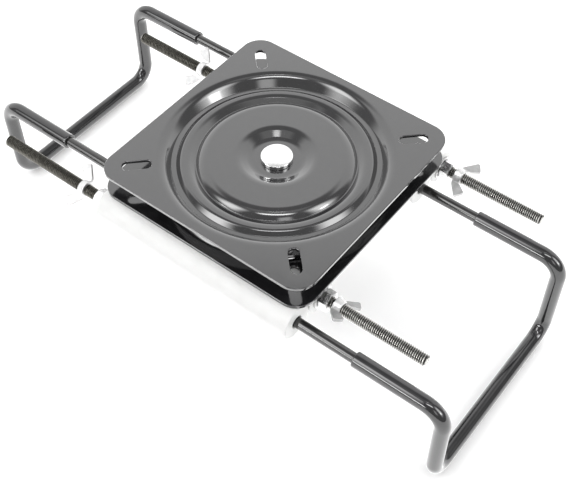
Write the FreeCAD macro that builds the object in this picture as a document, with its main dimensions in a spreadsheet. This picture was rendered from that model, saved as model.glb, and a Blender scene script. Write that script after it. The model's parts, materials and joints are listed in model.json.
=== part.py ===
import FreeCAD, Part
import math
import os

from FreeCAD import Placement, Rotation, Vector

# Swivel seat base that clamps on a bench. Two square pressed plates turn on a ring of balls
# round one big rivet. Four tubes lie under the lower plate, and two rod hooks pass through
# them: each hook grips one edge of the bench and is drawn in by nuts at the far side.
# The origin is on the swivel axis at the top face, +X runs along the rods, +Z is up.

SIZES = (
    ("plate_side", 168.0, "side of both square plates"),
    ("plate_thickness", 2.4, "sheet the plates are pressed from"),
    ("plate_corner", 14.5, "corner radius of the plates"),
    ("stack_height", 20.1, "top face of the upper plate to underside of the lower one"),
    ("dish_floor_radius", 17.0, "flat floor of the rivet dish"),
    ("dish_wall", 9.2, "width of the dish's sloping wall"),
    ("dish_depth", 3.8, "depth of the dish below the disc"),
    ("disc_width", 23.8, "flat width of the middle disc round the dish"),
    ("disc_depth", 2.8, "drop of the middle disc"),
    ("disc_wall", 3.4, "width of the wall from the disc into the inner groove"),
    ("inner_groove_floor", 0.6, "flat width of the inner groove"),
    ("inner_groove_gap", 1.1, "air between the plates at the inner groove"),
    ("race_inner_wall", 4.7, "width of the ball race's inner wall"),
    ("race_crest", 4.0, "flat width on top of the ball race"),
    ("race_outer_wall", 4.3, "width of the ball race's outer wall"),
    ("outer_groove_floor", 2.5, "flat width of the outer groove"),
    ("outer_groove_gap", 0.7, "air between the plates at the outer groove"),
    ("shoulder_wall", 5.9, "width of the wall from the outer groove to the rim"),
    ("shoulder_land", 5.5, "width of the pressed ring's flat edge"),
    ("dish_floor_bend", 8.7, "inside radius where the dish wall meets its floor"),
    ("dish_rim_bend", 0.5, "inside radius at the dish's rim"),
    ("disc_bend", 4.7, "inside radius at the disc's edge"),
    ("groove_bend", 0.7, "inside radius of the bends in both grooves"),
    ("race_inner_bend", 6.0, "inside radius of the race's inner shoulder"),
    ("race_outer_bend", 0.5, "inside radius of the race's outer shoulder"),
    ("shoulder_bend", 6.1, "inside radius where the flat rim starts to dip"),
    ("slot_width", 7.5, "width of the seat screw slots"),
    ("slot_inner_pitch", 121.0, "square spacing of the inner slot ends"),
    ("slot_outer_pitch", 138.0, "square spacing of the outer slot ends"),
    ("ball_diameter", 6.35, "bearing ball"),
    ("ball_count", 20, "balls in the ring"),
    ("ball_play", 0.04, "air above and below each ball"),
    ("retainer_thickness", 1.2, "ball retainer ring"),
    ("retainer_fingers", 2.7, "reach of the retainer fingers inside the ball circle"),
    ("retainer_web", 1.0, "retainer outside the ball pockets"),
    ("retainer_play", 0.2, "air round each ball in the retainer"),
    ("rivet_shank", 9.4, "shank diameter of the middle rivet"),
    ("rivet_head", 21.5, "domed head diameter"),
    ("rivet_head_height", 3.5, "domed head height"),
    ("rivet_head_edge", 1.6, "upright edge of the domed head"),
    ("rivet_crown", 15.5, "diameter where the dome flattens"),
    ("rivet_foot", 17.0, "formed foot diameter"),
    ("rivet_foot_height", 1.9, "formed foot height"),
    ("rivet_fit", 0.1, "air round the rivet in the plate that turns"),
    ("spacer_diameter", 16.1, "sleeve between the plates on the rivet"),
    ("head_gap", 0.1, "air under the rivet head and over the spacer"),
    ("sleeve_diameter", 23.6, "tubes under the lower plate"),
    ("sleeve_bore", 8.6, "hole through each tube"),
    ("sleeve_length", 159.0, "length of each tube"),
    ("outer_rod_offset", 81.9, "outer rods from the middle line"),
    ("inner_rod_offset", 57.1, "inner rods from the middle line"),
    ("rod_diameter", 7.1, "bare rod"),
    ("thread_core", 6.2, "core of the rolled thread"),
    ("thread_length", 104.0, "threaded end of each rod"),
    ("thread_tip", 1.2, "chamfer at the thread tips"),
    ("hook_reach", 362.0, "hook leg to thread tip"),
    ("hook_drop", 70.5, "arm axis to cross bar axis"),
    ("hook_bend", 14.2, "bend radius of the rod axis"),
    ("cover_diameter", 10.5, "soft cover on the hook"),
    ("cover_fit", 0.05, "air between the cover and the rod"),
    ("cover_reach", 63.3, "hook leg to the end of its cover"),
    ("left_hook_thread", 78.9, "left hook's thread tips past the tube ends"),
    ("right_hook_thread", 96.0, "right hook's thread tips past the tube ends"),
    ("washer_diameter", 16.6, "flat washer"),
    ("washer_bore", 8.4, "hole of the washer"),
    ("washer_thickness", 1.6, "flat washer"),
    ("nut_seat_gap", 0.05, "air between the nut and the washer"),
    ("nut_flats", 12.7, "hex nut across flats"),
    ("nut_height", 6.7, "hex nut"),
    ("nut_face", 11.9, "round face left by the nut chamfer"),
    ("nut_chamfer", 60.0, "nut chamfer from the nut's axis"),
    ("thread_fit", 0.06, "air between a nut and the thread core"),
    ("wing_hub", 12.8, "foot diameter of the wing nut hub"),
    ("wing_hub_top", 10.2, "top diameter of the wing nut hub"),
    ("wing_hub_height", 5.6, "wing nut hub"),
    ("wing_hub_edge", 0.4, "rounded top edges of the hub"),
    ("wing_span", 30.2, "tip to tip of the wings"),
    ("wing_height", 10.6, "foot of the hub to the wing tips"),
    ("wing_thickness", 2.4, "wing"),
    ("left_front_gap", 10.1, "bare thread between the left front nuts"),
    ("left_back_gap", 24.4, "bare thread between the left back nuts"),
    ("right_front_gap", 2.8, "bare thread between the right front nuts"),
    ("right_back_gap", 3.6, "bare thread between the right back nuts"),
    ("left_front_wing_angle", 30.0, "tilt of the left front wings"),
    ("left_back_wing_angle", 35.0, "tilt of the left back wings"),
    ("right_front_wing_angle", -15.0, "tilt of the right front wings"),
    ("right_back_wing_angle", 16.0, "tilt of the right back wings"),
)

SLOT_COUNT = 4
WING_COUNT = 2
NUT_SIDES = 6
FULL_TURN = 360.0

# One wing: share of the half span, share of the wing height, corner radius
WING_OUTLINE = (
    (0.264, 0.06, 0.0),
    (0.480, 0.14, 3.0),
    (0.960, 0.45, 1.0),
    (1.000, 0.98, 1.0),
    (0.620, 0.86, 3.0),
    (0.400, 0.56, 2.0),
    (0.264, 0.50, 0.0),
)

doc = FreeCAD.newDocument("swivel_seat_base")
sheet = doc.addObject("Spreadsheet::Sheet", "sizes")
for row, (alias, value, note) in enumerate(SIZES, start=1):
    sheet.set("A%d" % row, note)
    sheet.set("B%d" % row, str(value))
    sheet.setAlias("B%d" % row, alias)
doc.recompute()

nodes = []


def size(alias):
    """A driving size, in millimetres, degrees or pieces."""
    return float(sheet.get(alias))


def bind(thing, **properties):
    """Tie properties of an object to formulas in the sizes of the sheet."""
    for name, formula in properties.items():
        thing.setExpression(name, formula)


def keep(thing, label, placement=None):
    """Mark an object as one piece of the real thing."""
    thing.Label = label
    if placement is not None:
        thing.Placement = placement
    nodes.append(thing)
    return thing


def origin_plane(body, role):
    """One of the three planes of a body's own origin."""
    for feature in body.Origin.OriginFeatures:
        if feature.Role == role:
            return feature
    raise ValueError("no plane " + role)


def new_sketch(body, name, role):
    """An empty sketch on one of a body's own planes."""
    sketch = body.newObject("Sketcher::SketchObject", name)
    sketch.AttachmentSupport = (origin_plane(body, role), [""])
    sketch.MapMode = "FlatFace"
    return sketch


def corner_cut(before, corner, after, radius):
    """Where a rounded corner leaves its two straight sides, and its middle point."""
    back = (before - corner).normalize()
    ahead = (after - corner).normalize()
    half = back.getAngle(ahead) / 2
    trim = radius / math.tan(half)
    middle = (back + ahead).normalize()
    centre = corner + middle * (radius / math.sin(half))
    return corner + back * trim, centre - middle * radius, corner + ahead * trim


def rounded_edges(points, radii, closed):
    """Lines and arcs through points, with a radius at each corner that has one."""
    count = len(points)
    starts = list(points)
    ends = list(points)
    arcs = {}
    for i, corner in enumerate(points):
        at_end = not closed and i in (0, count - 1)
        if radii[i] and not at_end:
            after = points[(i + 1) % count]
            starts[i], middle, ends[i] = corner_cut(points[i - 1], corner, after, radii[i])
            arcs[i] = Part.Arc(starts[i], middle, ends[i])
    pieces = []
    for i in range(count):
        if i in arcs:
            pieces.append(arcs[i])
        if closed or i + 1 < count:
            pieces.append(Part.LineSegment(ends[i], starts[(i + 1) % count]))
    return pieces


def fill_sketch(sketch, points, radii):
    """Draw a closed outline with rounded corners in a sketch."""
    flat = [Vector(x, y, 0) for x, y in points]
    for piece in rounded_edges(flat, radii, True):
        sketch.addGeometry(piece, False)


def turned(name, points, radii):
    """A body turned about Z from an outline of (radius, height) points."""
    body = doc.addObject("PartDesign::Body", name)
    sketch = new_sketch(body, name + "_profile", "XZ_Plane")
    fill_sketch(sketch, points, radii)
    turn = body.newObject("PartDesign::Revolution", name + "_turn")
    turn.Profile = sketch
    turn.ReferenceAxis = (sketch, ["V_Axis"])
    turn.Angle = FULL_TURN
    return body


def tube(name, outer, bore, length):
    """A plain tube along X, its sizes given as formulas."""
    along_x = Placement(Vector(), Rotation(Vector(0, 1, 0), 90))
    wall = doc.addObject("Part::Cylinder", name + "_wall")
    bind(wall, Radius=outer + " / 2", Height=length)
    hole = doc.addObject("Part::Cylinder", name + "_hole")
    bind(hole, Radius=bore + " / 2", Height=length)
    for cylinder in (wall, hole):
        cylinder.Placement = along_x
    cut = doc.addObject("Part::Cut", name)
    cut.Base = wall
    cut.Tool = hole
    return cut


mid_depth = size("stack_height") / 2
sheet_thickness = size("plate_thickness")
rod_height = -(size("stack_height") + size("sleeve_diameter") / 2)
race_start = sum(size(width) for width in (
    "dish_floor_radius", "dish_wall", "disc_width", "disc_wall", "inner_groove_floor",
    "race_inner_wall"))
ball_circle = race_start + size("race_crest") / 2


def offset_down(points, distance):
    """The same run of points, moved square to its sides by the sheet's thickness."""
    moved = []
    for i, (x, y) in enumerate(points):
        normals = []
        for a, b in ((i - 1, i), (i, i + 1)):
            if a < 0 or b >= len(points):
                continue
            run = Vector(points[b][0] - points[a][0], points[b][1] - points[a][1], 0).normalize()
            normals.append(Vector(run.y, -run.x, 0))
        total = normals[0] if len(normals) == 1 else normals[0] + normals[1]
        share = distance if len(normals) == 1 else distance / (1 + normals[0].dot(normals[1]))
        moved.append((x + total.x * share, y + total.y * share))
    return moved


def pressed_run():
    """Corners of the pressed middle's top face out to the flat rim, and their bends."""
    disc = -size("disc_depth")
    floor = disc - size("dish_depth")
    under_mid = sheet_thickness - mid_depth
    inner_floor = under_mid + size("inner_groove_gap") / 2
    outer_floor = under_mid + size("outer_groove_gap") / 2
    crest = under_mid + size("ball_diameter") / 2 + size("ball_play")
    radius = size("dish_floor_radius")
    points = [(size("rivet_shank") / 2 + size("rivet_fit"), floor), (radius, floor)]
    bends = [0.0, size("dish_floor_bend")]
    for width, height, bend in (
        ("dish_wall", disc, "dish_rim_bend"),
        ("disc_width", disc, "disc_bend"),
        ("disc_wall", inner_floor, "groove_bend"),
        ("inner_groove_floor", inner_floor, "groove_bend"),
        ("race_inner_wall", crest, "race_inner_bend"),
        ("race_crest", crest, "race_outer_bend"),
        ("race_outer_wall", outer_floor, "groove_bend"),
        ("outer_groove_floor", outer_floor, "groove_bend"),
        ("shoulder_wall", 0.0, "shoulder_bend"),
    ):
        radius += size(width)
        points.append((radius, height))
        bends.append(size(bend))
    points.append((radius + size("shoulder_land"), 0.0))
    bends.append(0.0)
    return points, bends


def face_radii(points, bends, hollow, bulge):
    """Radii of one face of a bent sheet, with what each side adds to the inside radius."""
    radii = [0.0] * len(points)
    for i in range(1, len(points) - 1):
        before = Vector(points[i][0] - points[i - 1][0], points[i][1] - points[i - 1][1], 0)
        after = Vector(points[i + 1][0] - points[i][0], points[i + 1][1] - points[i][1], 0)
        radii[i] = bends[i] + (hollow if before.cross(after).z > 0 else bulge)
    return radii


def swivel_plate(name):
    """One pressed plate: flat square rim, ball race, middle disc, rivet dish and slots."""
    top, bends = pressed_run()
    under = offset_down(top, sheet_thickness)
    rim_radius = top[-1][0]
    top_radii = face_radii(top, bends, 0.0, sheet_thickness)
    under_radii = face_radii(under, bends, sheet_thickness, 0.0)
    body = turned(name, top + under[::-1], top_radii + under_radii[::-1])

    half = size("plate_side") / 2
    square = new_sketch(body, name + "_square", "XY_Plane")
    fill_sketch(square, [(-half, -half), (half, -half), (half, half), (-half, half)],
                [size("plate_corner")] * 4)
    square.addGeometry(Part.Circle(Vector(), Vector(0, 0, 1), rim_radius), False)
    rim = body.newObject("PartDesign::Pad", name + "_rim")
    rim.Profile = square
    rim.Reversed = True
    bind(rim, Length="sizes.plate_thickness")

    slot = new_sketch(body, name + "_slot", "XY_Plane")
    inner = size("slot_inner_pitch") / math.sqrt(2)
    outer = size("slot_outer_pitch") / math.sqrt(2)
    reach = size("slot_width") / 2
    diagonal = Rotation(Vector(0, 0, 1), 45)
    inner_end = [Vector(inner, reach, 0), Vector(inner - reach, 0, 0), Vector(inner, -reach, 0)]
    outer_end = [Vector(outer, -reach, 0), Vector(outer + reach, 0, 0), Vector(outer, reach, 0)]
    for end, other in ((inner_end, outer_end), (outer_end, inner_end)):
        turned_end = [diagonal.multVec(point) for point in end]
        slot.addGeometry(Part.Arc(*turned_end), False)
        slot.addGeometry(Part.LineSegment(turned_end[2], diagonal.multVec(other[0])), False)
    cut = body.newObject("PartDesign::Pocket", name + "_slot_cut")
    cut.Profile = slot
    cut.Type = "ThroughAll"
    pattern = body.newObject("PartDesign::PolarPattern", name + "_slots")
    pattern.Originals = [cut]
    pattern.Axis = (square, ["N_Axis"])
    pattern.Angle = FULL_TURN
    pattern.Occurrences = SLOT_COUNT
    body.Tip = pattern
    return body


def centre_rivet():
    """Middle rivet: domed head in the upper dish, foot formed under the lower plate."""
    shank = size("rivet_shank") / 2
    head = size("rivet_head") / 2
    foot = size("rivet_foot") / 2
    floor = -(size("disc_depth") + size("dish_depth"))
    seat = floor + size("head_gap")
    under = -size("stack_height") - floor
    head_top = seat + size("rivet_head_height")
    foot_end = under - size("rivet_foot_height")
    foot_round = size("rivet_foot_height") / 2
    edge = size("rivet_head_edge")
    crown = size("rivet_crown") / 2
    points = [
        (0, foot_end), (foot, foot_end), (foot, under), (shank, under),
        (shank, seat), (head, seat), (head, seat + edge), (crown, head_top), (0, head_top),
    ]
    radii = [0, foot_round, 0, 0, 0, edge / 3, edge / 2, head, 0]
    return turned("centre_rivet_turned", points, radii)


def rivet_spacer():
    """Sleeve on the rivet that keeps the plates apart at the middle."""
    floor = -(size("disc_depth") + size("dish_depth"))
    top = floor - sheet_thickness - size("head_gap")
    bottom = -size("stack_height") - floor + sheet_thickness
    bore = size("rivet_shank") / 2 + size("rivet_fit")
    outside = size("spacer_diameter") / 2
    points = [(bore, bottom), (outside, bottom), (outside, top), (bore, top)]
    return turned("rivet_spacer_turned", points, [0, 0, 0, 0])


def ring_places(count, radius):
    """Points spaced evenly on a circle at the height of the balls."""
    for i in range(count):
        angle = 2 * math.pi * i / count
        yield Vector(radius * math.cos(angle), radius * math.sin(angle), -mid_depth)


def bearing_balls():
    """The ring of steel balls."""
    places = ring_places(int(size("ball_count")), ball_circle)
    radius = size("ball_diameter") / 2
    balls = doc.addObject("Part::Feature", "bearing_balls_ring")
    balls.Shape = Part.makeCompound([Part.makeSphere(radius, place) for place in places])
    return balls


def ball_retainer():
    """Flat ring with a pocket, open to the inside, for each ball."""
    body = doc.addObject("PartDesign::Body", "ball_retainer_ring")
    ring = new_sketch(body, "retainer_ring", "XY_Plane")
    radius = size("ball_diameter") / 2 + size("retainer_play")
    inner_edge = ball_circle - size("retainer_fingers")
    for edge in (ball_circle + radius + size("retainer_web"), inner_edge):
        ring.addGeometry(Part.Circle(Vector(), Vector(0, 0, 1), edge), False)
    pad = body.newObject("PartDesign::Pad", "retainer_pad")
    pad.Profile = ring
    bind(pad, Length="sizes.retainer_thickness")
    pocket = new_sketch(body, "retainer_pocket", "XY_Plane")
    inside = inner_edge - radius
    mouth = [Vector(ball_circle, -radius, 0), Vector(inside, -radius, 0),
             Vector(inside, radius, 0), Vector(ball_circle, radius, 0)]
    for start, end in zip(mouth, mouth[1:]):
        pocket.addGeometry(Part.LineSegment(start, end), False)
    pocket.addGeometry(Part.Arc(mouth[-1], Vector(ball_circle + radius, 0, 0), mouth[0]), False)
    cut = body.newObject("PartDesign::Pocket", "retainer_cut")
    cut.Profile = pocket
    cut.Type = "ThroughAll"
    cut.Reversed = True
    pattern = body.newObject("PartDesign::PolarPattern", "retainer_cuts")
    pattern.Originals = [cut]
    pattern.Axis = (ring, ["N_Axis"])
    pattern.Angle = FULL_TURN
    pattern.Occurrences = int(size("ball_count"))
    body.Tip = pattern
    return body


def hook_run(reach):
    """Path of a bent hook, from one arm's end round the bench grip to the other's."""
    outer = -size("outer_rod_offset")
    inner = size("inner_rod_offset")
    drop = -size("hook_drop")
    points = [
        Vector(-reach, outer, 0), Vector(0, outer, 0), Vector(0, outer, drop),
        Vector(0, inner, drop), Vector(0, inner, 0), Vector(-reach, inner, 0),
    ]
    bend = size("hook_bend")
    pieces = rounded_edges(points, [0, bend, bend, bend, bend, 0], False)
    return Part.Wire([piece.toShape() for piece in pieces])


def swept(name, path, radius_formula, start):
    """A round bar along a path, its radius given as a formula."""
    ring = doc.addObject("Part::Circle", name + "_section")
    bind(ring, Radius=radius_formula)
    ring.Placement = Placement(start, Rotation(Vector(0, 1, 0), 90))
    sweep = doc.addObject("Part::Sweep", name)
    sweep.Sections = [ring]
    sweep.Spine = (path, ["Edge%d" % (i + 1) for i in range(len(path.Shape.Edges))])
    sweep.Solid = True
    sweep.Frenet = False
    return sweep


def path_object(name, reach):
    """The axis of a hook as an object of the document, and its first point."""
    path = doc.addObject("Part::Feature", name)
    path.Shape = hook_run(reach)
    return path, Vector(-reach, -size("outer_rod_offset"), 0)


def hook_rod(name):
    """Bent rod with a long rolled thread at both ends, drawn at the thread's core."""
    plain_reach = size("hook_reach") - size("thread_length")
    path, start = path_object(name + "_axis", plain_reach)
    parts = [swept(name + "_bar", path, "sizes.rod_diameter / 2", start)]
    for side, offset in (("outer", -size("outer_rod_offset")), ("inner", size("inner_rod_offset"))):
        core = doc.addObject("Part::Cylinder", name + "_" + side + "_thread")
        bind(core, Radius="sizes.thread_core / 2", Height="sizes.thread_length - sizes.thread_tip")
        core.Placement = Placement(Vector(-plain_reach, offset, 0), Rotation(Vector(0, 1, 0), -90))
        tip = doc.addObject("Part::Cone", name + "_" + side + "_tip")
        bind(tip, Radius1="sizes.thread_core / 2",
             Radius2="sizes.thread_core / 2 - sizes.thread_tip / 2", Height="sizes.thread_tip")
        tip_start = size("hook_reach") - size("thread_tip")
        tip.Placement = Placement(Vector(-tip_start, offset, 0), Rotation(Vector(0, 1, 0), -90))
        parts += [core, tip]
    rod = doc.addObject("Part::MultiFuse", name)
    rod.Shapes = parts
    return rod


def hook_cover(name):
    """Soft tube drawn over the grip of a hook."""
    path, start = path_object(name + "_axis", size("cover_reach"))
    skin = swept(name + "_skin", path, "sizes.cover_diameter / 2", start)
    bore = swept(name + "_bore", path, "sizes.rod_diameter / 2 + sizes.cover_fit", start)
    cover = doc.addObject("Part::Cut", name)
    cover.Base = skin
    cover.Tool = bore
    return cover


def hex_nut(name):
    """Hex nut along X, chamfered on both faces."""
    along_x = Placement(Vector(), Rotation(Vector(0, 1, 0), 90))
    back = Placement(Vector(size("nut_height"), 0, 0), Rotation(Vector(0, 1, 0), -90))
    prism = doc.addObject("Part::Prism", name + "_hexagon")
    prism.Polygon = NUT_SIDES
    bind(prism, Circumradius="sizes.nut_flats / sqrt(3)", Height="sizes.nut_height")
    prism.Placement = along_x
    cones = []
    for side, placement in (("near", along_x), ("far", back)):
        cone = doc.addObject("Part::Cone", name + "_" + side + "_chamfer")
        bind(cone, Radius1="sizes.nut_face / 2", Height="sizes.nut_height",
             Radius2="sizes.nut_face / 2 + sizes.nut_height * tan(sizes.nut_chamfer)")
        cone.Placement = placement
        cones.append(cone)
    blank = doc.addObject("Part::MultiCommon", name + "_blank")
    blank.Shapes = [prism] + cones
    hole = doc.addObject("Part::Cylinder", name + "_hole")
    bind(hole, Radius="sizes.thread_core / 2 + sizes.thread_fit", Height="sizes.nut_height")
    hole.Placement = along_x
    nut = doc.addObject("Part::Cut", name)
    nut.Base = blank
    nut.Tool = hole
    return nut


def wing_nut(name):
    """Wing nut standing on its hub's foot, wings up and out, axis along Z."""
    bore = size("thread_core") / 2 + size("thread_fit")
    foot = size("wing_hub") / 2
    top = size("wing_hub_top") / 2
    height = size("wing_hub_height")
    edge = size("wing_hub_edge")
    body = turned(name, [(bore, 0), (foot, 0), (top, height), (bore, height)], [0, edge, edge, 0])

    span = size("wing_span") / 2
    rise = size("wing_height")
    wing = new_sketch(body, name + "_wing_outline", "XZ_Plane")
    outline = [(out * span, up * rise) for out, up, radius in WING_OUTLINE]
    fill_sketch(wing, outline, [radius for out, up, radius in WING_OUTLINE])
    pad = body.newObject("PartDesign::Pad", name + "_wing")
    pad.Profile = wing
    pad.Midplane = True
    bind(pad, Length="sizes.wing_thickness")
    pattern = body.newObject("PartDesign::PolarPattern", name + "_wings")
    pattern.Originals = [pad]
    pattern.Axis = (wing, ["V_Axis"])
    pattern.Angle = FULL_TURN
    pattern.Occurrences = WING_COUNT
    body.Tip = pattern
    return body


turned_over = Placement(Vector(0, 0, -size("stack_height")), Rotation(Vector(1, 0, 0), 180))
keep(swivel_plate("upper_swivel_plate"), "upper_plate")
keep(swivel_plate("lower_swivel_plate"), "lower_plate", turned_over)
keep(centre_rivet(), "centre_rivet")
keep(rivet_spacer(), "rivet_spacer")
keep(bearing_balls(), "bearing_balls")
retainer_height = -mid_depth - size("retainer_thickness") / 2
keep(ball_retainer(), "ball_retainer", Placement(Vector(0, 0, retainer_height), Rotation()))

SLEEVES = (
    ("front_outer_sleeve", -size("outer_rod_offset")),
    ("front_inner_sleeve", -size("inner_rod_offset")),
    ("back_inner_sleeve", size("inner_rod_offset")),
    ("back_outer_sleeve", size("outer_rod_offset")),
)
sleeve_end = size("sleeve_length") / 2
for label, offset in SLEEVES:
    sleeve = tube(label + "_tube", "sizes.sleeve_diameter", "sizes.sleeve_bore", "sizes.sleeve_length")
    keep(sleeve, label, Placement(Vector(-sleeve_end, offset, rod_height), Rotation()))

half_turn = Rotation(Vector(0, 0, 1), 180)
for label, side in (("right_hook", 1), ("left_hook", -1)):
    facing = Rotation() if side > 0 else half_turn
    leg = size("hook_reach") - sleeve_end - size(label + "_thread")
    placement = Placement(Vector(side * leg, 0, rod_height), facing)
    keep(hook_rod(label + "_bent_rod"), label + "_rod", placement)
    keep(hook_cover(label + "_tube_cover"), label + "_cover", placement)

ROD_ENDS = (
    ("left_front", -1, -size("outer_rod_offset")),
    ("left_back", -1, size("inner_rod_offset")),
    ("right_front", 1, -size("inner_rod_offset")),
    ("right_back", 1, size("outer_rod_offset")),
)
nut_start = sleeve_end + size("washer_thickness") + size("nut_seat_gap")
for corner, side, offset in ROD_ENDS:
    facing = Rotation() if side > 0 else half_turn
    washer = tube(corner + "_washer_ring", "sizes.washer_diameter", "sizes.washer_bore",
                  "sizes.washer_thickness")
    keep(washer, corner + "_washer", Placement(Vector(side * sleeve_end, offset, rod_height), facing))
    nut_place = Placement(Vector(side * nut_start, offset, rod_height), facing)
    keep(hex_nut(corner + "_hexagon_nut"), corner + "_nut", nut_place)
    wing_start = nut_start + size("nut_height") + size(corner + "_gap")
    outward = Rotation(Vector(0, 0, 1), Vector(side, 0, 0))
    wings_level = Rotation(Vector(0, 0, 1), 90)
    tilt = Rotation(Vector(1, 0, 0), size(corner + "_wing_angle"))
    stand = tilt.multiply(outward).multiply(wings_level)
    keep(wing_nut(corner + "_winged_nut"), corner + "_wing_nut",
         Placement(Vector(side * wing_start, offset, rod_height), stand))

doc.recompute()
for thing in doc.Objects:
    if "Invalid" in thing.State or "Error" in thing.State:
        raise RuntimeError("failed: %s %s" % (thing.Name, thing.State))

os.makedirs("parts", exist_ok=True)
for thing in nodes:
    shape = thing.Shape
    if shape.isNull() or not shape.isValid():
        raise RuntimeError("bad shape: " + thing.Label)
    box = shape.BoundBox
    print("%-22s solids %2d volume %9.1f  x %7.1f %7.1f  y %7.1f %7.1f  z %7.1f %7.1f" % (
        thing.Label, len(shape.Solids), shape.Volume, box.XMin, box.XMax, box.YMin, box.YMax,
        box.ZMin, box.ZMax))
    shape.exportStep("parts/%s.step" % thing.Label)
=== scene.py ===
import json
import math

import bmesh
import bpy
from mathutils import Matrix, Vector


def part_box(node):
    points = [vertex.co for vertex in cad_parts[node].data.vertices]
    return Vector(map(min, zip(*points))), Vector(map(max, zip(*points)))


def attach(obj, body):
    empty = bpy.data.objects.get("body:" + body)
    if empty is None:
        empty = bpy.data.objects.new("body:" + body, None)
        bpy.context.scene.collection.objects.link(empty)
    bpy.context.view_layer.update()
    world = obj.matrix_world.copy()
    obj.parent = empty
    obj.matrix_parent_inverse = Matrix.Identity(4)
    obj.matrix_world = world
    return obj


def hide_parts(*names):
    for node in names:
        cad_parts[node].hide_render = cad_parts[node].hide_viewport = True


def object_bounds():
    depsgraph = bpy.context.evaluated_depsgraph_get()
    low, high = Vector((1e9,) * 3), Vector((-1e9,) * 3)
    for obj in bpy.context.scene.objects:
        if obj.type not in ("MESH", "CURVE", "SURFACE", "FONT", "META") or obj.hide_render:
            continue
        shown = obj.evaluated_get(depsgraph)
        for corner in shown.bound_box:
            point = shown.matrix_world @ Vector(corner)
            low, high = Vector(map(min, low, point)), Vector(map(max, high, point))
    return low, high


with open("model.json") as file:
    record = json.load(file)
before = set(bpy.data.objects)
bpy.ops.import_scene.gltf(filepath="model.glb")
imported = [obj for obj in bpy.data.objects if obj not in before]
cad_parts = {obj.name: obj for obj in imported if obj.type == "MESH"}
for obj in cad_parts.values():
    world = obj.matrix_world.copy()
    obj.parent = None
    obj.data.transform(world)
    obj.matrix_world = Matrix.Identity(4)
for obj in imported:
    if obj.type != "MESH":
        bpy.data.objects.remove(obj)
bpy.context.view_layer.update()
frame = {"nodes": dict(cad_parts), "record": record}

MM = 0.001

# Sizes of the real object in millimetres
SHEET = 2.4
STACK = 20.1
PLATE_CORNER = 14.5
DISH_DEPTH = 3.8
DISC_DEPTH = 2.8
INNER_GROOVE_GAP = 1.1
OUTER_GROOVE_GAP = 0.7
BALL_DIAMETER = 6.35
BALL_PLAY = 0.04
RIVET_SHANK = 9.4
RIVET_HOLE_PLAY = 0.1
RIVET_HEAD = 21.5
RIVET_HEAD_HEIGHT = 3.5
RIVET_FOOT = 17.0
RIVET_FOOT_HEIGHT = 1.9
SLOT_WIDTH = 7.5
SLOT_PITCHES = (121.0, 138.0)
SLEEVE_BORE = 8.6
ROD_DIAMETER = 7.1
THREAD_MAJOR = 8.0
THREAD_ROOT = 6.3
THREAD_PITCH = 1.411
THREAD_LENGTH = 104.0
HOOK_BEND = 14.2
COVER_DIAMETER = 10.5
COVER_REACH = 63.3
WING_BORE = 4.1
WING_FOOT = 6.4
WING_TOP = 5.2
WING_HEIGHT = 5.6
WING_THICKNESS = 2.2

# Widths along the pressing from its middle out, and the inside radii of its bends. The dish's
# floor, wall and bends, the disc's bend, the crest, the race's outer wall and its bends and the
# outer groove's floor differ a little from the solids, as the photo's reflections ask
DISH_FLOOR = 17.8
DISH_FLOOR_BEND = 10.0
DISH_WALL = 8.4
DISH_RIM_BEND = 9.0
DISC_WIDTH = 23.8
DISC_BEND = 7.6
DISC_WALL = 3.4
INNER_GROOVE_FLOOR = 0.6
INNER_GROOVE_BEND = 0.7
RACE_INNER_WALL = 4.7
RACE_INNER_BEND = 6.0
RACE_CREST = 4.4
RACE_OUTER_BEND = 0.8
RACE_OUTER_WALL = 3.4
OUTER_GROOVE_FLOOR = 3.0
OUTER_GROOVE_BEND = 0.9
SHOULDER_WALL = 5.9
SHOULDER_BEND = 6.1
SHOULDER_LAND = 5.5

# Where the looks change on a piece, in millimetres from its own axis
THREAD_FACE = 2.6
THREAD_FACE_FADE = 0.3
WING_HUB = 6.8
WING_HUB_FADE = 0.3
# How much paler the wing nut's hub is painted: a painted highlight
WING_HUB_HIGHLIGHT = 2.0

# The photograph's viewpoint
CAMERA_PLACE = (0.3056, -0.38264, 0.50971)
CAMERA_TURN = (39.1483, -0.2137, 37.4558)
CAMERA_LENS = 67.936
CAMERA_SHIFT = (-0.01804, -0.00228)

RING_STEPS = 256


def rounded_run(points, radii, step_degrees=6.0):
    """A run of points with each inner corner swapped for an arc."""
    run = []
    for i, corner in enumerate(points):
        corner = Vector(corner)
        radius = radii[i]
        if i in (0, len(points) - 1) or not radius:
            run.append(corner)
            continue
        back = (Vector(points[i - 1]) - corner).normalized()
        ahead = (Vector(points[i + 1]) - corner).normalized()
        half = back.angle(ahead) / 2
        centre = corner + (back + ahead).normalized() * (radius / math.sin(half))
        start = corner + back * (radius / math.tan(half)) - centre
        end = corner + ahead * (radius / math.tan(half)) - centre
        sweep = start.angle(end)
        steps = max(3, math.ceil(math.degrees(sweep) / step_degrees))
        for k in range(steps + 1):
            share = k / steps
            point = start * (math.sin((1 - share) * sweep) / math.sin(sweep))
            point += end * (math.sin(share * sweep) / math.sin(sweep))
            run.append(centre + point)
    return run


def new_object(name, bm, material=None, smooth=True):
    """Turn a bmesh in millimetres into an object in metres."""
    bmesh.ops.recalc_face_normals(bm, faces=bm.faces)
    bmesh.ops.scale(bm, vec=(MM, MM, MM), verts=bm.verts)
    mesh = bpy.data.meshes.new(name)
    bm.to_mesh(mesh)
    bm.free()
    for polygon in mesh.polygons:
        polygon.use_smooth = smooth
    thing = bpy.data.objects.new(name, mesh)
    bpy.context.scene.collection.objects.link(thing)
    if material:
        mesh.materials.append(material)
    return thing


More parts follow.
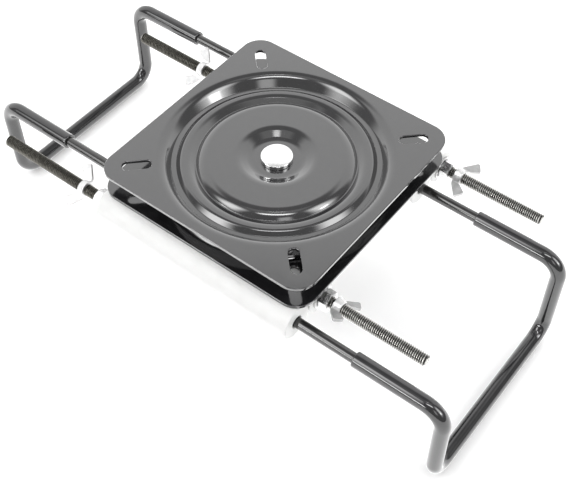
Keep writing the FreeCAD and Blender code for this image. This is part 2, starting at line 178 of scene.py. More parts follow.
def soften(thing, width, segments=3, angle=40.0):
    """Round the sharp edges of a piece."""
    bevel = thing.modifiers.new("edges", "BEVEL")
    bevel.width = width * MM
    bevel.segments = segments
    bevel.limit_method = "ANGLE"
    bevel.angle_limit = math.radians(angle)
    bevel.use_clamp_overlap = True
    normals = thing.modifiers.new("normals", "WEIGHTED_NORMAL")
    normals.keep_sharp = False
    normals.weight = 60


def add_ring(bm, radius, height, steps=RING_STEPS):
    """A circle of vertices about Z."""
    ring = []
    for i in range(steps):
        angle = 2 * math.pi * i / steps
        ring.append(bm.verts.new((radius * math.cos(angle), radius * math.sin(angle), height)))
    return ring


def join_rings(bm, first, second):
    """A band of faces between two rings."""
    count = len(first)
    for i in range(count):
        j = (i + 1) % count
        bm.faces.new((first[i], first[j], second[j], second[i]))


def lathe(name, run, material, steps=RING_STEPS, closed=True):
    """A turned piece from (radius, height) points; points on the axis close it."""
    bm = bmesh.new()
    rings = []
    for radius, height in run:
        if radius < 1e-6:
            rings.append([bm.verts.new((0, 0, height))])
        else:
            rings.append(add_ring(bm, radius, height, steps))
    pairs = list(zip(rings, rings[1:]))
    if closed and len(rings[0]) > 1:
        pairs.append((rings[-1], rings[0]))
    for first, second in pairs:
        if len(first) == 1 or len(second) == 1:
            tip, ring = (first[0], second) if len(first) == 1 else (second[0], first)
            for i in range(len(ring)):
                bm.faces.new((tip, ring[i], ring[(i + 1) % len(ring)]))
        else:
            join_rings(bm, first, second)
    return new_object(name, bm, material)


def place(thing, position, axis=(0, 0, 1)):
    """Move a piece made about Z to its place, in millimetres, with Z along an axis."""
    turn = Vector((0, 0, 1)).rotation_difference(Vector(axis)).to_matrix().to_4x4()
    thing.matrix_world = Matrix.Translation(Vector(position) * MM) @ turn
    return thing


# Materials
def new_material(name):
    """A node material, its node tree and its shader."""
    material = bpy.data.materials.new(name)
    material.use_nodes = True
    tree = material.node_tree
    return material, tree, tree.nodes["Principled BSDF"]


def add_node(tree, kind, **values):
    """A node with its inputs set by name."""
    node = tree.nodes.new(kind)
    for key, value in values.items():
        node.inputs[key.replace("_", " ")].default_value = value
    return node


def object_noise(tree, scale, detail):
    """Noise in object space, in metres, so that it never slides."""
    where = tree.nodes.new("ShaderNodeTexCoord")
    noise = add_node(tree, "ShaderNodeTexNoise", Scale=scale, Detail=detail, Roughness=0.5)
    tree.links.new(where.outputs["Object"], noise.inputs["Vector"])
    return noise.outputs["Fac"]


def ramp(tree, source, low, high, start=0.3, end=0.7):
    """Map a value to a range of colours or numbers."""
    node = tree.nodes.new("ShaderNodeMapRange")
    node.inputs["From Min"].default_value = start
    node.inputs["From Max"].default_value = end
    node.inputs["To Min"].default_value = low
    node.inputs["To Max"].default_value = high
    tree.links.new(source, node.inputs["Value"])
    return node.outputs["Result"]


def maths(tree, operation, *values):
    """A maths node on sockets or plain numbers."""
    node = tree.nodes.new("ShaderNodeMath")
    node.operation = operation
    for socket, value in zip(node.inputs, values):
        if isinstance(value, (int, float)):
            socket.default_value = value
        else:
            tree.links.new(value, socket)
    return node.outputs[0]


def mix_colours(tree, factor, first, second):
    """Blend two colours by a factor."""
    node = tree.nodes.new("ShaderNodeMix")
    node.data_type = "RGBA"
    node.inputs[6].default_value = (*first, 1)
    node.inputs[7].default_value = (*second, 1)
    tree.links.new(factor, node.inputs[0])
    return node.outputs[2]


def add_bump(tree, shader, source, strength, distance):
    """Add a bump from a height value."""
    bump = add_node(tree, "ShaderNodeBump", Strength=strength, Distance=distance)
    tree.links.new(source, bump.inputs["Height"])
    tree.links.new(bump.outputs["Normal"], shader.inputs["Normal"])


def set_colour(tree, shader, noise, first, second):
    """A colour that wavers between two shades."""
    colour = mix_colours(tree, ramp(tree, noise, 0, 1), first, second)
    tree.links.new(colour, shader.inputs["Base Color"])


def set_roughness(tree, shader, noise, low, high):
    """A roughness that wavers between two values."""
    tree.links.new(ramp(tree, noise, low, high), shader.inputs["Roughness"])


def enamel_material():
    """Glossy black enamel on pressed sheet: faint orange peel and long waves."""
    material, tree, shader = new_material("plate_enamel_look")
    set_colour(tree, shader, object_noise(tree, 260.0, 2.0), (0.012, 0.012, 0.013), (0.017, 0.017, 0.018))
    shader.inputs["IOR"].default_value = 1.6
    shader.inputs["Coat Weight"].default_value = 1.0
    shader.inputs["Coat Roughness"].default_value = 0.07
    set_roughness(tree, shader, object_noise(tree, 90.0, 3.0), 0.07, 0.12)
    add_bump(tree, shader, object_noise(tree, 420.0, 2.0), 0.02, 0.0003)
    return material


def vinyl_material():
    """Glossy black soft tube."""
    material, tree, shader = new_material("hook_vinyl_look")
    set_colour(tree, shader, object_noise(tree, 150.0, 2.0), (0.010, 0.010, 0.011), (0.018, 0.018, 0.019))
    shader.inputs["IOR"].default_value = 1.65
    set_roughness(tree, shader, object_noise(tree, 60.0, 3.0), 0.05, 0.09)
    add_bump(tree, shader, object_noise(tree, 140.0, 2.0), 0.03, 0.0006)
    return material


def rod_material():
    """Black painted rod with a satin gloss."""
    material, tree, shader = new_material("rod_steel_look")
    set_colour(tree, shader, object_noise(tree, 300.0, 3.0), (0.012, 0.012, 0.012), (0.022, 0.021, 0.020))
    shader.inputs["IOR"].default_value = 1.65
    set_roughness(tree, shader, object_noise(tree, 120.0, 3.0), 0.08, 0.13)
    add_bump(tree, shader, object_noise(tree, 500.0, 3.0), 0.04, 0.0002)
    return material


def axis_distance(tree):
    """Distance from the piece's own Z axis."""
    where = tree.nodes.new("ShaderNodeTexCoord")
    flat = tree.nodes.new("ShaderNodeVectorMath")
    flat.operation = "MULTIPLY"
    flat.inputs[1].default_value = (1, 1, 0)
    tree.links.new(where.outputs["Object"], flat.inputs[0])
    radius = tree.nodes.new("ShaderNodeVectorMath")
    radius.operation = "LENGTH"
    tree.links.new(flat.outputs["Vector"], radius.inputs[0])
    return radius.outputs["Value"]


def thread_material(name, dark, wear_and_sheen_tone):
    """Dark rolled thread, its crests painted paler for scuffing and as a painted highlight, its end face
    scuffed paler: the thread's axis is its own Z.
    """
    material, tree, shader = new_material(name)
    radius = axis_distance(tree)
    # Crests painted paler, part scuffing and part painted highlight
    height = ramp(tree, radius, 0, 1, THREAD_ROOT * MM / 2, THREAD_MAJOR * MM / 2)
    wear_and_sheen_noise = ramp(tree, object_noise(tree, 40.0, 2.0), 0.85, 1.0)
    wear_and_sheen_mask = maths(tree, "MULTIPLY", height, wear_and_sheen_noise)
    face_end = THREAD_FACE + THREAD_FACE_FADE
    end_face = ramp(tree, radius, 1, 0, THREAD_FACE * MM, face_end * MM)
    colour = mix_colours(tree, maths(tree, "MAXIMUM", wear_and_sheen_mask, end_face), dark, wear_and_sheen_tone)
    tree.links.new(colour, shader.inputs["Base Color"])
    shader.inputs["Metallic"].default_value = 0.85
    set_roughness(tree, shader, object_noise(tree, 300.0, 2.0), 0.22, 0.32)
    return material


def zinc_material(name, roughness=(0.2, 0.34), tones=(0.44, 0.56), hub=0.0):
    """Bright zinc plate, a little uneven; paler inside the radius of a hub, a painted highlight."""
    material, tree, shader = new_material(name)
    share = ramp(tree, object_noise(tree, 350.0, 4.0), 0, 1)
    if hub:
        inside, outside = (hub - WING_HUB_FADE) * MM, (hub + WING_HUB_FADE) * MM
        # The hub is painted paler: a painted highlight
        paler = ramp(tree, axis_distance(tree), WING_HUB_HIGHLIGHT, 0.0, inside, outside)
        share = maths(tree, "ADD", share, paler)
    dark, pale = tones
    tone = maths(tree, "ADD", maths(tree, "MULTIPLY", share, pale - dark), dark)
    grey = tree.nodes.new("ShaderNodeCombineColor")
    for channel in grey.inputs:
        tree.links.new(tone, channel)
    tree.links.new(grey.outputs[0], shader.inputs["Base Color"])
    shader.inputs["Metallic"].default_value = 1.0
    set_roughness(tree, shader, object_noise(tree, 220.0, 4.0), *roughness)
    add_bump(tree, shader, object_noise(tree, 900.0, 3.0), 0.12, 0.0002)
    return material


def sleeve_material():
    """Off-white satin coat on tube."""
    material, tree, shader = new_material("sleeve_coat_look")
    set_colour(tree, shader, object_noise(tree, 120.0, 3.0), (0.86, 0.86, 0.85), (0.89, 0.89, 0.885))
    set_roughness(tree, shader, object_noise(tree, 200.0, 3.0), 0.35, 0.5)
    add_bump(tree, shader, object_noise(tree, 700.0, 3.0), 0.08, 0.0002)
    return material


def nylon_material():
    """Dark moulded nylon."""
    material, tree, shader = new_material("retainer_look")
    fine = object_noise(tree, 300.0, 3.0)
    set_colour(tree, shader, fine, (0.05, 0.05, 0.05), (0.08, 0.08, 0.08))
    shader.inputs["Roughness"].default_value = 0.5
    add_bump(tree, shader, fine, 0.1, 0.0002)
    return material


enamel = enamel_material()
vinyl = vinyl_material()
rod_paint = rod_material()
# Both threads' crests are painted paler, part scuffing and part painted highlight
worn_and_sheen_thread = thread_material("worn_and_sheen_thread_look", (0.010, 0.009, 0.008), (0.44, 0.435, 0.415))
dark_thread = thread_material("dark_thread_look", (0.008, 0.008, 0.006), (0.13, 0.125, 0.11))
zinc = zinc_material("zinc_plate_look")
cast_zinc = zinc_material("cast_zinc_look", (0.38, 0.5), (0.36, 0.46), WING_HUB)
rivet_zinc = zinc_material("rivet_zinc_look", (0.12, 0.2), (0.66, 0.76))
ball_steel = zinc_material("ball_steel_look", (0.05, 0.1))
sleeve_coat = sleeve_material()
nylon = nylon_material()

MATERIAL_OF = {
    "plate_enamel": enamel,
    "hook_vinyl": vinyl,
    "rod_steel": rod_paint,
    "zinc_plate": zinc,
    "rivet_zinc": rivet_zinc,
    "ball_steel": ball_steel,
    "sleeve_coat": sleeve_coat,
    "retainer_nylon": nylon,
    "spacer_steel": zinc,
}
for row in frame["record"]["subparts"]:
    node = frame["nodes"][row["node"]]
    node.data.materials.clear()
    node.data.materials.append(MATERIAL_OF[row["material_slot"]])


# Pressed plates
def offset_down(points, distance):
    """The same run moved square to its sides."""
    moved = []
    for i, (x, y) in enumerate(points):
        normals = []
        for a, b in ((i - 1, i), (i, i + 1)):
            if 0 <= a and b < len(points):
                run = (Vector(points[b]) - Vector(points[a])).normalized()
                normals.append(Vector((run.y, -run.x)))
        total = normals[0] if len(normals) == 1 else normals[0] + normals[1]
        share = distance if len(normals) == 1 else distance / (1 + normals[0].dot(normals[1]))
        moved.append((x + total.x * share, y + total.y * share))
    return moved


def pressed_run():
    """Corners of the pressed middle's top face out to the flat rim, and their bends."""
    under_mid = SHEET - STACK / 2
    disc = -DISC_DEPTH
    floor = disc - DISH_DEPTH
    inner_floor = under_mid + INNER_GROOVE_GAP / 2
    outer_floor = under_mid + OUTER_GROOVE_GAP / 2
    crest = under_mid + BALL_DIAMETER / 2 + BALL_PLAY
    radius = DISH_FLOOR
    points = [(RIVET_SHANK / 2 + RIVET_HOLE_PLAY, floor), (radius, floor)]
    bends = [0.0, DISH_FLOOR_BEND]
    # Width of each flat or wall, height at its end and inside radius of the bend there
    for width, height, bend in (
        (DISH_WALL, disc, DISH_RIM_BEND),
        (DISC_WIDTH, disc, DISC_BEND),
        (DISC_WALL, inner_floor, INNER_GROOVE_BEND),
        (INNER_GROOVE_FLOOR, inner_floor, INNER_GROOVE_BEND),
        (RACE_INNER_WALL, crest, RACE_INNER_BEND),
        (RACE_CREST, crest, RACE_OUTER_BEND),
        (RACE_OUTER_WALL, outer_floor, OUTER_GROOVE_BEND),
        (OUTER_GROOVE_FLOOR, outer_floor, OUTER_GROOVE_BEND),
        (SHOULDER_WALL, 0.0, SHOULDER_BEND),
        (SHOULDER_LAND, 0.0, 0.0),
    ):
        radius += width
        points.append((radius, height))
        bends.append(bend)
    return points, bends


def face_radii(points, bends, hollow, bulge):
    """Radii of one face of a bent sheet, with what each side adds to the inside radius."""
    radii = [0.0] * len(points)
    for i in range(1, len(points) - 1):
        before = Vector(points[i]) - Vector(points[i - 1])
        after = Vector(points[i + 1]) - Vector(points[i])
        left_turn = before.x * after.y - before.y * after.x > 0
        radii[i] = bends[i] + (hollow if left_turn else bulge)
    return radii


def arc_points(centre, radius, start, end, steps):
    """Points of an arc, angles in degrees."""
    points = []
    for k in range(steps + 1):
        angle = math.radians(start + (end - start) * k / steps)
        points.append((centre[0] + radius * math.cos(angle), centre[1] + radius * math.sin(angle)))
    return points


def plate_outline(half):
    """Square with rounded corners."""
    inner = half - PLATE_CORNER
    points = []
    for quarter, (sx, sy) in enumerate(((1, 1), (-1, 1), (-1, -1), (1, -1))):
        centre = (sx * inner, sy * inner)
        points += arc_points(centre, PLATE_CORNER, 90 * quarter, 90 * quarter + 90, 12)
    return points


def slot_outline(corner):
    """One diagonal slot with round ends."""
    along = 45 + 90 * corner
    direction = Vector((math.cos(math.radians(along)), math.sin(math.radians(along))))
    inner, outer = (direction * (pitch / math.sqrt(2)) for pitch in SLOT_PITCHES)
    radius = SLOT_WIDTH / 2
    points = arc_points(outer, radius, along - 90, along + 90, 12)
    return points + arc_points(inner, radius, along + 90, along + 270, 12)


def loop_edges(bm, verts):
    """Edges round a closed loop of vertices."""
    edges = []
    for i, vert in enumerate(verts):
        other = verts[(i + 1) % len(verts)]
        edge = bm.edges.get((vert, other)) or bm.edges.new((vert, other))
        edges.append(edge)
    return edges


def pressed_plate(name, half):
    """One swivel plate with its rim, rings, dish and slots, top face at height 0."""
    top, bends = pressed_run()
    under = offset_down(top, SHEET)
    top_run = rounded_run(top, face_radii(top, bends, 0.0, SHEET), step_degrees=4.0)
    under_run = rounded_run(under, face_radii(under, bends, SHEET, 0.0))
    bm = bmesh.new()
    loops = [plate_outline(half)] + [slot_outline(corner) for corner in range(4)]
    last_rings, walls = [], []
    for run, height in ((top_run, 0.0), (under_run, -SHEET)):
        rings = [add_ring(bm, point.x, point.y) for point in run]
        for first, second in zip(rings, rings[1:]):
            join_rings(bm, first, second)
        borders = [[bm.verts.new((x, y, height)) for x, y in loop] for loop in loops]
        edges = loop_edges(bm, rings[-1])
        for border in borders:
            edges += loop_edges(bm, border)
        bmesh.ops.triangle_fill(bm, use_beauty=True, use_dissolve=False, edges=edges)
        last_rings.append(rings[0])
        walls.append(borders)
    join_rings(bm, *last_rings)
    for upper, lower in zip(*walls):
        join_rings(bm, upper, lower)
    thing = new_object(name, bm, enamel)
    soften(thing, 0.5)
    return thing


plate_low, plate_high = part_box("upper_plate")
plate_half = (plate_high.x - plate_low.x) / 2 / MM
upper = pressed_plate("upper_plate_pressing", plate_half)
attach(upper, "seat_plate")
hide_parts("upper_plate")
lower = pressed_plate("lower_plate_pressing", plate_half)
lower.matrix_world = Matrix.Translation((0, 0, -STACK * MM)) @ Matrix.Rotation(math.pi, 4, "X")
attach(lower, "base")
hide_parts("lower_plate")

# Middle rivet
rivet_low, rivet_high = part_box("centre_rivet")
foot = rivet_low.z / MM
foot_seat = foot + RIVET_FOOT_HEIGHT
rivet_top = rivet_high.z / MM
head_seat = rivet_top - RIVET_HEAD_HEIGHT
half_foot = RIVET_FOOT / 2
half_head = RIVET_HEAD / 2
half_shank = RIVET_SHANK / 2
rivet_run = [
    (0, foot), (half_foot - 1.1, foot), (half_foot - 0.4, foot + 0.2), (half_foot, foot + 0.8),
    (half_foot, foot_seat), (half_shank, foot_seat), (half_shank, head_seat),
    (half_head - 0.3, head_seat), (half_head, head_seat + 0.3),
]
flat_top = 6.0
head_corner = rounded_run(
    [(half_head, head_seat + 0.5), (half_head, rivet_top - 0.3), (flat_top, rivet_top - 0.02),
     (0.0, rivet_top)],
    [0, 0.5, 20.0, 0], step_degrees=12.0)
rivet_run += [(point.x, point.y) for point in head_corner]
rivet = lathe("centre_rivet_turned", rivet_run, rivet_zinc, 128, False)
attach(rivet, "base")
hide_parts("centre_rivet")

# Tubes under the lower plate
for label in ("front_outer_sleeve", "front_inner_sleeve", "back_inner_sleeve", "back_outer_sleeve"):
    low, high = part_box(label)
    low, high = low / MM, high / MM
    outside = (high.z - low.z) / 2
    bore = SLEEVE_BORE / 2
    length = high.x - low.x
    edge = 0.5
    run = [
        (bore, edge), (bore + edge, 0), (outside - edge, 0), (outside, edge), (outside, length - edge),
        (outside - edge, length), (bore + edge, length), (bore, length - edge),
    ]
    sleeve = lathe(label + "_tube", run, sleeve_coat, 96)
    soften(sleeve, 0.3, segments=2, angle=30.0)
    place(sleeve, (low.x, (low.y + high.y) / 2, (low.z + high.z) / 2), (1, 0, 0))
    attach(sleeve, "base")
    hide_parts(label)


# Hooks
def keep_crisp(bm, runs, closed=True):
    """Break the smooth shading along runs of vertices."""
    for run in runs:
        for first, second in zip(run, run[1:] + (run[:1] if closed else [])):
            edge = bm.edges.get((first, second))
            if edge:
                edge.smooth = False


def bar_mesh(name, path, radius, material, bore=None, steps=40):
    """A round bar or tube swept along a path."""
    bm = bmesh.new()
    count = len(path)
    tangents = []
    for i in range(count):
        before = path[max(i - 1, 0)]
        after = path[min(i + 1, count - 1)]
        tangents.append((after - before).normalized())
    side = tangents[0].orthogonal().normalized()
    frames = []
    for i in range(count):
        if i:
            turn = tangents[i - 1].rotation_difference(tangents[i])
            side = (turn @ side).normalized()
        frames.append((side.copy(), tangents[i].cross(side)))

    def ring(i, size, shift=0.0):
        across, up = frames[i]
        centre = path[i] + tangents[i] * shift
        verts = []
        for k in range(steps):
            angle = 2 * math.pi * k / steps
            verts.append(bm.verts.new(centre + (across * math.cos(angle) + up * math.sin(angle)) * size))
        return verts

    edge = 0.6
    past_edge = 1.5
    round_end = []
    for degrees in (0, 22.5, 45, 67.5, 90):
        turn = math.radians(degrees)
        round_end.append((edge * (1 - math.sin(turn)), edge * (1 - math.cos(turn))))
    rings = [ring(0, radius - cut, shift) for cut, shift in round_end] + [ring(0, radius, past_edge)]
    rings += [ring(i, radius) for i in range(1, count - 1)]
    rings += [ring(count - 1, radius, -past_edge)]
    rings += [ring(count - 1, radius - cut, -shift) for cut, shift in reversed(round_end)]
    for first, second in zip(rings, rings[1:]):
        join_rings(bm, first, second)
    if bore:
        starts, ends = ring(0, bore), ring(count - 1, bore)
        join_rings(bm, rings[0], starts)
        join_rings(bm, rings[-1], ends)
        join_rings(bm, starts, ring(1, bore))
        join_rings(bm, ends, ring(count - 2, bore))
        keep_crisp(bm, [starts, ends])
    else:
        bm.faces.new(rings[0])
        bm.faces.new(rings[-1])
    keep_crisp(bm, [rings[0], rings[-1]])
    return new_object(name, bm, material)


def bent_path(points):
    """A path through corners with the hook's bend radius, with points along its straight runs."""
    radii = [0] + [HOOK_BEND] * (len(points) - 2) + [0]
    run = rounded_run(points, radii, step_degrees=5.0)
    spacing = 10.0
    dense = [run[0]]
    for point in run[1:]:
        start = dense[-1]
        parts = max(1, round((point - start).length / spacing))
        for k in range(1, parts):
            dense.append(start.lerp(point, k / parts))
        dense.append(point)
    return dense


def hook_corners(end, leg, arms, heights):
    """Corners of a hook's centre line, from one arm's end round its leg to the other's."""
    front, back = arms
    bottom, top = heights
    return [
        (end, front, top), (leg, front, top), (leg, front, bottom),
        (leg, back, bottom), (leg, back, top), (end, back, top),
    ]


def thread_mesh(name, tip, direction, length, finish):
    """A rolled thread: one helical ridge wound from inside the tube to the rod's tip."""
    steps = 32
    # Share of the pitch along the axis and share of the thread's height there
    profile = ((0.0, 0.0), (0.06, 0.0), (0.44, 1.0), (0.60, 1.0), (0.98, 0.0))
    chamfer = 1.1
    least = THREAD_ROOT / 2 - 0.55
    turns = int(length / THREAD_PITCH) - 1
    root, crest = THREAD_ROOT / 2, THREAD_MAJOR / 2
    bm = bmesh.new()
    grid = []
    for i in range(turns * steps + 1):
        angle = 2 * math.pi * i / steps
        row = []
        for along, rise in profile:
            travel = THREAD_PITCH * (i / steps + along)
            limit = crest - max(0.0, chamfer - travel)
            radius = min(root + (crest - root) * rise, max(limit, least))
            row.append(bm.verts.new((radius * math.cos(angle), radius * math.sin(angle), travel)))
        grid.append(row)
    for i in range(turns * steps):
        for j in range(len(profile) - 1):
            bm.faces.new((grid[i][j], grid[i + 1][j], grid[i + 1][j + 1], grid[i][j + 1]))
        if i + steps + 1 <= turns * steps:
            bm.faces.new((grid[i][-1], grid[i + 1][-1], grid[i + steps + 1][0], grid[i + steps][0]))
    keep_crisp(bm, [[row[j] for row in grid] for j in range(len(profile))], False)
    thread = new_object(name, bm, finish)
    return place(thread, tip, direction)


for hook, side in (("left_hook", -1), ("right_hook", 1)):
    rod_low, rod_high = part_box(hook + "_rod")
    cover_low, cover_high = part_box(hook + "_cover")
    rod_low, rod_high, cover_low, cover_high = (v / MM for v in (rod_low, rod_high, cover_low, cover_high))
    cover_radius = COVER_DIAMETER / 2
    leg = (rod_high.x if side > 0 else rod_low.x) - side * ROD_DIAMETER / 2
    front, back = cover_low.y + cover_radius, cover_high.y - cover_radius
    top, bottom = cover_high.z - cover_radius, cover_low.z + cover_radius
    tip = rod_low.x if side > 0 else rod_high.x
    cover_end = leg - side * COVER_REACH
    cover_path = bent_path(hook_corners(cover_end, leg, (front, back), (bottom, top)))
    cover = bar_mesh(hook + "_cover_tube", cover_path, cover_radius, vinyl, ROD_DIAMETER / 2)
    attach(cover, hook)
    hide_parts(hook + "_cover")
    bar_end = tip + side * THREAD_LENGTH
    rod_path = bent_path(hook_corners(bar_end, leg, (front, back), (bottom, top)))
    rod = bar_mesh(hook + "_rod_bar", rod_path, ROD_DIAMETER / 2, rod_paint)
    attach(rod, hook)
    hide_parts(hook + "_rod")
    finish = worn_and_sheen_thread if hook == "left_hook" else dark_thread
    for row, y in (("front", front), ("back", back)):
        thread = thread_mesh(hook + "_" + row + "_thread", (tip, y, top), (side, 0, 0), THREAD_LENGTH, finish)
        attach(thread, hook)
        core_radius = THREAD_ROOT / 2 + 0.02
        core_run = [(0, 0), (THREAD_ROOT / 2 - 0.8, 0), (core_radius, 1.0),
                    (core_radius, THREAD_LENGTH), (0, THREAD_LENGTH)]
        core = lathe(hook + "_" + row + "_thread_core", core_run, finish, 32, False)
        place(core, (tip, y, top), (side, 0, 0))
        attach(core, hook)


# Nuts, wing nuts and washers
def wing_nut(name, foot, side, tilt):
    """A wing nut with two flared ears, made about Z and laid along the rod."""
    bm = bmesh.new()
    run = [
        (WING_BORE, 0.0), (WING_FOOT - 0.3, 0.0), (WING_FOOT, 0.3),
        (WING_TOP, WING_HEIGHT - 0.4), (WING_TOP - 0.4, WING_HEIGHT), (WING_BORE, WING_HEIGHT),
    ]
    rings = [add_ring(bm, radius, level, 48) for radius, level in run]
    for first, second in zip(rings, rings[1:] + rings[:1]):
        join_rings(bm, first, second)
    ear = rounded_run([(4.4, 0.9), (7.8, 0.8), (17.0, 8.4), (10.9, 13.0), (5.9, 5.6), (4.4, 4.4)],
                      [0, 2.0, 1.3, 1.3, 2.5, 0], step_degrees=15.0)
    for turn in (1, -1):
        walls = []
        for level in (-WING_THICKNESS / 2, WING_THICKNESS / 2):
            walls.append([bm.verts.new((turn * point.x, level * turn, point.y)) for point in ear])
            bm.faces.new(walls[-1])
        join_rings(bm, *walls)
    piece = new_object(name, bm, cast_zinc)
    soften(piece, 0.5, angle=35.0)
    along = Vector((side, 0, 0))
    out = Vector((0, math.cos(math.radians(tilt)), math.sin(math.radians(tilt))))
    turned = Matrix((out, along.cross(out), along)).transposed().to_4x4()
    piece.matrix_world = Matrix.Translation(Vector(foot) * MM) @ turned
    return piece


for corner, side, tilt in (
    ("left_front", -1, 35), ("left_back", -1, 35), ("right_front", 1, -28), ("right_back", 1, 5),
):
    low, high = (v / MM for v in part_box(corner + "_wing_nut"))
    foot = (low.x if side > 0 else high.x, (low.y + high.y) / 2, (low.z + high.z) / 2)
    winged = wing_nut(corner + "_winged_nut", foot, side, tilt)
    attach(winged, corner + "_wing_nut")
    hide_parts(corner + "_wing_nut")
    for kind, width in (("nut", 0.25), ("washer", 0.2)):
        node = frame["nodes"][corner + "_" + kind]
        copy = node.data.copy()
        bm = bmesh.new()
        bm.from_mesh(copy)
        bmesh.ops.remove_doubles(bm, verts=bm.verts, dist=1e-6)
        bmesh.ops.dissolve_limit(bm, angle_limit=math.radians(1.0), verts=bm.verts, edges=bm.edges)
        bm.to_mesh(copy)
        bm.free()
        for polygon in copy.polygons:
            polygon.use_smooth = True
        piece = bpy.data.objects.new(corner + "_" + kind + "_piece", copy)
        bpy.context.scene.collection.objects.link(piece)
        soften(piece, width, angle=35.0)
        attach(piece, "base" if kind == "washer" else corner + "_" + kind)
        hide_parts(corner + "_" + kind)

# Floor, light and camera
FLOOR_REACH = 6.0
FLOOR_LIFT = 0.2
# More than white, so that the rods mirror it as pale as in the photo
FLOOR_MIRRORED = 1.35
floor_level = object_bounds()[0][2]
floor_mesh = bpy.data.meshes.new("floor")
floor_corners = [(FLOOR_REACH * x, FLOOR_REACH * y, 0) for x, y in ((-1, -1), (1, -1), (1, 1), (-1, 1))]
floor_mesh.from_pydata(floor_corners, [], [(0, 1, 2, 3)])
floor = bpy.data.objects.new("floor", floor_mesh)
floor.location = (0, 0, floor_level)
bpy.context.scene.collection.objects.link(floor)
floor_paint, floor_tree, floor_shader = new_material("floor_look")
floor_shader.inputs["Base Color"].default_value = (0.93, 0.93, 0.93, 1)
floor_shader.inputs["Roughness"].default_value = 0.6
floor_shader.inputs["Specular IOR Level"].default_value = 0.2
floor_shader.inputs["Emission Color"].default_value = (1, 1, 1, 1)
floor_path = floor_tree.nodes.new("ShaderNodeLightPath")
lift = maths(floor_tree, "MULTIPLY", floor_path.outputs["Is Camera Ray"], FLOOR_LIFT)
mirrored = maths(floor_tree, "MULTIPLY", floor_path.outputs["Is Glossy Ray"], FLOOR_MIRRORED)
floor_tree.links.new(maths(floor_tree, "ADD", lift, mirrored), floor_shader.inputs["Emission Strength"])
floor_mesh.materials.append(floor_paint)


def hidden_lamp(name, width, height, radiance):
    """A flat lamp that lights the object but isn't seen, also not in reflections."""
    lamp = bpy.data.lights.new(name, "AREA")
    lamp.shape = "RECTANGLE"
    lamp.size = width
    lamp.size_y = height
    lamp.energy = radiance * math.pi * width * height
    thing = bpy.data.objects.new(name, lamp)
    thing.visible_camera = False
    thing.visible_glossy = False
    bpy.context.scene.collection.objects.link(thing)
    return thing


def soft_panel(name, azimuth, heights, distance, width, radiance):
    """An upright lamp that faces the swivel axis."""
    low, high = heights
    thing = hidden_lamp(name, width, high - low, radiance)
    turn = math.radians(azimuth)
    thing.location = (distance * math.cos(turn), distance * math.sin(turn), (low + high) / 2)
    thing.rotation_euler = (math.pi / 2, 0, turn + math.pi / 2)


# Lamps in metres and degrees: a wall of three panels behind the object, a window on each side
# and one lamp overhead
BACK = 127
PANEL_TURN = 52
WALL_DISTANCE = 2.2
panel_width = 2 * WALL_DISTANCE * math.tan(math.radians(PANEL_TURN / 2))
for direction in (BACK - PANEL_TURN, BACK, BACK + PANEL_TURN):
    soft_panel("back_wall_%d" % direction, direction, (0.25, 3.1), WALL_DISTANCE, panel_width, 2.1)
soft_panel("left_window", 243, (1.3, 3.6), 2.0, 2.0, 4.2)
soft_panel("right_window", 10, (1.15, 2.9), 2.0, 1.6, 4.0)
top = hidden_lamp("top_lamp", 0.16, 0.8, 12.0)
top.location = (0.2, -0.3, 2.2)
top.rotation_euler = (0, 0, math.radians(BACK - 90))

# The world: a plain fill for the object, white for the camera, and a map for mirror-like rays
FILL = 0.22
MAP_FILL = 0.5
# Middle, half size and soft edge, each as azimuth and elevation in degrees, and strength. They
# were placed by the photo's highlights, and most are brighter than white
MAP_WALL = ((128, 26), (66, 24), (14, 12), 1.28)
MAP_WINDOWS = {
    "right": ((12, 40), (4, 8), (20, 18), 6.4),
    "left": ((238, 43), (4, 7), (20, 18), 6.8),
    "behind_camera": ((318, 34), (4, 5), (8, 9), 2.4),
    "high_band": ((307, 78), (90, 4), (25, 10), 0.5),
}
MAP_LAMPS = {
    "above_camera": ((305, 66), (9, 2), (9, 4), 11.0),
    "low_left": ((252, 16), (10, 1.5), (10, 3), 20.0),
    "low_right": ((11, 30), (3, 2), (4, 4), 10.0),
    "overhead": ((307, 86.1), (2, 0.3), (5, 1.1), 8.0),
}
world = bpy.data.worlds.new("studio")
bpy.context.scene.world = world
world.use_nodes = True
tree = world.node_tree
soft_fill = tree.nodes["Background"]
soft_fill.inputs["Color"].default_value = (1, 1, 1, 1)
soft_fill.inputs["Strength"].default_value = FILL
seen = tree.nodes.new("ShaderNodeBackground")
seen.inputs["Color"].default_value = (1, 1, 1, 1)
light_path = tree.nodes.new("ShaderNodeLightPath")
where = tree.nodes.new("ShaderNodeTexCoord")
split = tree.nodes.new("ShaderNodeSeparateXYZ")
tree.links.new(where.outputs["Generated"], split.inputs[0])
azimuth = maths(tree, "ARCTAN2", split.outputs["Y"], split.outputs["X"])
elevation = maths(tree, "ARCSINE", split.outputs["Z"])


def soft_edge(distance, half, softness):
    """1 inside a half width and 0 outside it, with a soft edge, in degrees."""
    node = tree.nodes.new("ShaderNodeMapRange")
    node.interpolation_type = "SMOOTHSTEP"
    node.inputs["From Min"].default_value = math.radians(half + softness)
    node.inputs["From Max"].default_value = math.radians(half)
    tree.links.new(distance, node.inputs["Value"])
    return node.outputs["Result"]


def soft_window(centre, half, softness, strength):
    """A soft-edged window in the map, square to azimuth and elevation."""
    turn = maths(tree, "SUBTRACT", azimuth, math.radians(centre[0]))
    across = maths(tree, "ABSOLUTE", maths(tree, "WRAP", turn, math.pi, -math.pi))
    above = maths(tree, "ABSOLUTE", maths(tree, "SUBTRACT", elevation, math.radians(centre[1])))
    shape = maths(tree, "MULTIPLY", soft_edge(across, half[0], softness[0]),
                  soft_edge(above, half[1], softness[1]))
    return maths(tree, "MULTIPLY", shape, strength)


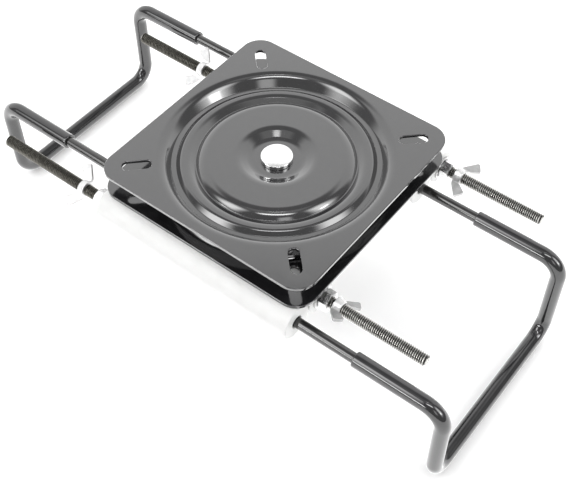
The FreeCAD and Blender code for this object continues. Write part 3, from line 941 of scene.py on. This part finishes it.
def direction_share(vector):
    """How far the seen direction leans along a vector."""
    dot = tree.nodes.new("ShaderNodeVectorMath")
    dot.operation = "DOT_PRODUCT"
    dot.inputs[1].default_value = vector
    tree.links.new(where.outputs["Generated"], dot.inputs[0])
    return dot.outputs["Value"]


def soft_lamp(centre, half, softness, strength):
    """A compact light in the map, square to its own direction."""
    turn, rise = (math.radians(angle) for angle in centre)
    ahead = Vector((math.cos(turn) * math.cos(rise), math.sin(turn) * math.cos(rise), math.sin(rise)))
    across = Vector((-math.sin(turn), math.cos(turn), 0))
    lit = maths(tree, "GREATER_THAN", direction_share(ahead), 0.0)
    for vector, width, edge in ((across, half[0], softness[0]), (ahead.cross(across), half[1], softness[1])):
        away = maths(tree, "ABSOLUTE", maths(tree, "ARCSINE", direction_share(vector)))
        lit = maths(tree, "MULTIPLY", lit, soft_edge(away, width, edge))
    return maths(tree, "MULTIPLY", lit, strength)


glow = maths(tree, "ADD", soft_window(*MAP_WALL), MAP_FILL)
for values in MAP_WINDOWS.values():
    glow = maths(tree, "ADD", glow, soft_window(*values))
for values in MAP_LAMPS.values():
    glow = maths(tree, "ADD", glow, soft_lamp(*values))
pick = tree.nodes.new("ShaderNodeMix")
tree.links.new(light_path.outputs["Is Camera Ray"], pick.inputs[0])
tree.links.new(glow, pick.inputs[2])
pick.inputs[3].default_value = 1.0
tree.links.new(pick.outputs[0], seen.inputs["Strength"])
direct = maths(tree, "ADD", light_path.outputs["Is Camera Ray"], light_path.outputs["Is Glossy Ray"])
direct = maths(tree, "MINIMUM", maths(tree, "ADD", direct, light_path.outputs["Is Transmission Ray"]), 1.0)
mix = tree.nodes.new("ShaderNodeMixShader")
tree.links.new(direct, mix.inputs[0])
tree.links.new(soft_fill.outputs[0], mix.inputs[1])
tree.links.new(seen.outputs[0], mix.inputs[2])
tree.links.new(mix.outputs[0], tree.nodes["World Output"].inputs["Surface"])

camera_data = bpy.data.cameras.new("camera")
camera_data.sensor_fit = "HORIZONTAL"
camera_data.sensor_width = 36.0
camera_data.lens = CAMERA_LENS
camera_data.shift_x, camera_data.shift_y = CAMERA_SHIFT
camera = bpy.data.objects.new("camera", camera_data)
camera.location = CAMERA_PLACE
camera.rotation_euler = [math.radians(angle) for angle in CAMERA_TURN]
bpy.context.scene.collection.objects.link(camera)
bpy.context.scene.camera = camera
bpy.context.scene.view_settings.view_transform = "Standard"
